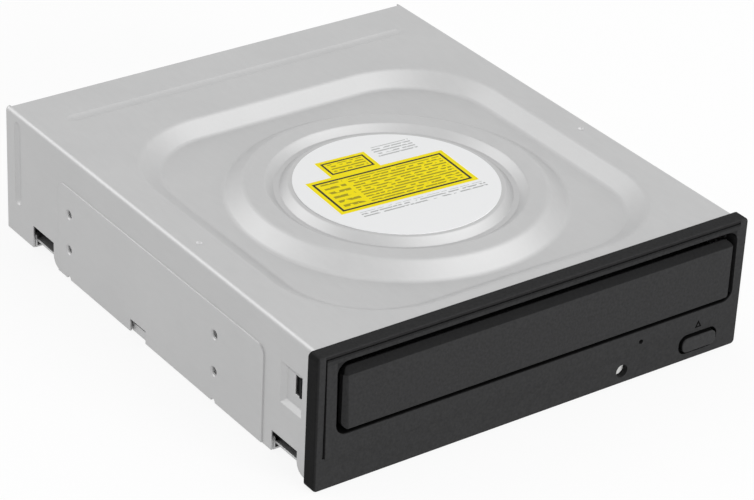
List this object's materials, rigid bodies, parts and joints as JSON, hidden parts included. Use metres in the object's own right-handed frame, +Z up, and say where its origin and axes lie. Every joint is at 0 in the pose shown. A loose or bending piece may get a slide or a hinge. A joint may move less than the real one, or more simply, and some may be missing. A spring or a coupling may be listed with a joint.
{
  "type": "half-height dvd writer",
  "caption": "Half-height optical disc drive: formed steel case, dark bezel with a motor-driven disc tray, tilting reading deck with spindle and pickup sled, clamper and main board.",
  "frame": {"origin": "middle of the object's box, at the height of the bezel's foot", "axes": "+Z up; -Y towards the bezel, so the tray comes out along -Y; +X to the right seen from the front"},
  "size_m": [0.149, 0.1695, 0.042],
  "materials": {
    "top_cover": "zinc-plated, satin",
    "round_label": "coated sticker",
    "bottom_cover": "zinc-plated, satin",
    "cover_screws": "plated",
    "front_bezel": "satin moulded",
    "light_guide": "milky",
    "eject_switch": "plain",
    "status_light": "clear",
    "main_frame": "moulded",
    "clamp_bracket": "zinc-plated, satin",
    "bracket_screws": "plated",
    "drive_belt": "moulded",
    "loading_motor": "drawn can",
    "motor_screws": "plated",
    "main_board": "solder resist",
    "board_screws": "plated",
    "drive_controller": "moulded package",
    "motor_driver": "moulded package",
    "memory_chips": "moulded package",
    "ribbon_sockets": "moulded",
    "board_capacitors": "can",
    "thermal_pads": "soft pad",
    "rear_connector": "moulded",
    "disc_tray": "fine texture",
    "tray_door": "satin moulded",
    "eject_button": "satin moulded",
    "clamper": "moulded",
    "clamper_magnet": "sintered",
    "clamper_yoke": "zinc-plated, satin",
    "tray_gear": "acetal",
    "pulley_gear": "acetal",
    "motor_pulley": "acetal",
    "motor_shaft": "ground",
    "cam_slider": "acetal",
    "lift_frame": "moulded",
    "rubber_dampers": "moulded",
    "damper_screws": "plated",
    "deck_plate": "zinc-plated, satin",
    "main_guide_rod": "ground",
    "second_guide_rod": "ground",
    "spindle_base": "plated",
    "sled_motor": "drawn can",
    "screw_bracket": "zinc-plated, satin",
    "turntable": "moulded on a steel rotor",
    "turntable_ring": "friction ring",
    "pickup_sled": "cast",
    "sled_nut": "acetal",
    "lens_magnets": "plated",
    "lens_holder": "moulded",
    "objective_lens": "coated",
    "lead_screw": "rolled"
  },
  "bodies": {
    "casing": {"top_cover": "top_cover", "round_label": "round_label", "bottom_cover": "bottom_cover", "cover_screws": "cover_screws", "front_bezel": "front_bezel", "light_guide": "light_guide", "eject_switch": "eject_switch", "status_light": "status_light", "main_frame": "main_frame", "clamp_bracket": "clamp_bracket", "bracket_screws": "bracket_screws", "drive_belt": "drive_belt", "loading_motor": "loading_motor", "motor_screws": "motor_screws", "main_board": "main_board", "board_screws": "board_screws", "drive_controller": "drive_controller", "motor_driver": "motor_driver", "memory_chips": "memory_chips", "ribbon_sockets": "ribbon_sockets", "board_capacitors": "board_capacitors", "thermal_pads": "thermal_pads", "rear_connector": "rear_connector"},
    "tray": {"disc_tray": "disc_tray", "tray_door": "tray_door"},
    "eject_button": {"eject_button": "eject_button"},
    "clamper": {"clamper": "clamper", "clamper_magnet": "clamper_magnet", "clamper_yoke": "clamper_yoke"},
    "tray_gear": {"tray_gear": "tray_gear"},
    "pulley_gear": {"pulley_gear": "pulley_gear"},
    "motor_pulley": {"motor_pulley": "motor_pulley", "motor_shaft": "motor_shaft"},
    "cam_slider": {"cam_slider": "cam_slider"},
    "lift": {"lift_frame": "lift_frame", "rubber_dampers": "rubber_dampers", "damper_screws": "damper_screws", "deck_plate": "deck_plate", "main_guide_rod": "main_guide_rod", "second_guide_rod": "second_guide_rod", "spindle_base": "spindle_base", "sled_motor": "sled_motor", "screw_bracket": "screw_bracket"},
    "turntable": {"turntable": "turntable", "turntable_ring": "turntable_ring"},
    "sled": {"pickup_sled": "pickup_sled", "sled_nut": "sled_nut", "lens_magnets": "lens_magnets"},
    "lens": {"lens_holder": "lens_holder", "objective_lens": "objective_lens"},
    "lead_screw": {"lead_screw": "lead_screw"}
  },
  "joints": [
    {"name": "tray_slide", "type": "slide", "parent": "casing", "child": "tray", "axis": [0, -1, 0], "range_m": [0, 0.132]},
    {"name": "eject_press", "type": "slide", "parent": "casing", "child": "eject_button", "axis": [0, 1, 0], "range_m": [0, 0.001], "stiffness_N_per_m": 1200},
    {"name": "lift_tilt", "type": "hinge", "parent": "casing", "child": "lift", "pos_m": [0, 0.0686, 0.016], "axis": [-1, 0, 0], "range_deg": [0, 4.7]},
    {"name": "cam_slide", "type": "slide", "parent": "casing", "child": "cam_slider", "axis": [1, 0, 0], "range_m": [0, 0.01601]},
    {"name": "turntable_spin", "type": "hinge", "parent": "lift", "child": "turntable", "pos_m": [0, -0.01586, 0.023], "axis": [0, -0.0819, 0.9966], "continuous": true},
    {"name": "clamper_spin", "type": "hinge", "parent": "casing", "child": "clamper", "pos_m": [0, -0.015, 0.0309], "axis": [0, 0, 1], "continuous": true},
    {"name": "sled_slide", "type": "slide", "parent": "lift", "child": "sled", "axis": [0, 0.9966, 0.0819], "range_m": [0, 0.036]},
    {"name": "lead_screw_spin", "type": "hinge", "parent": "lift", "child": "lead_screw", "pos_m": [0.038, 0.00789, 0.01482], "axis": [0, 0.9966, 0.0819], "range_deg": [0, 4321]},
    {"name": "lens_focus", "type": "slide", "parent": "sled", "child": "lens", "axis": [0, -0.0819, 0.9966], "range_m": [-0.0005, 0.0005], "stiffness_N_per_m": 40},
    {"name": "tray_gear_spin", "type": "hinge", "parent": "casing", "child": "tray_gear", "pos_m": [-0.036, -0.0609, 0.0182], "axis": [0, 0, 1], "range_deg": [0, 473.69]},
    {"name": "pulley_gear_spin", "type": "hinge", "parent": "casing", "child": "pulley_gear", "pos_m": [-0.0144, -0.0609, 0.0144], "axis": [0, 0, -1], "range_deg": [0, 1351.54]},
    {"name": "motor_pulley_spin", "type": "hinge", "parent": "casing", "child": "motor_pulley", "pos_m": [0.016, -0.0634, 0.0144], "axis": [0, 0, -1], "range_deg": [0, 5276.56]}
  ],
  "couplings": [
    {"joint": "tray_gear_spin", "follows": "tray_slide", "rad_per_m": 62.5},
    {"joint": "pulley_gear_spin", "follows": "tray_slide", "rad_per_m": 178.57},
    {"joint": "motor_pulley_spin", "follows": "tray_slide", "rad_per_m": 697.54},
    {"joint": "cam_slide", "follows": "lift_tilt", "m_per_rad": 0.19505},
    {"joint": "lead_screw_spin", "follows": "sled_slide", "rad_per_m": 2094.4}
  ]
}
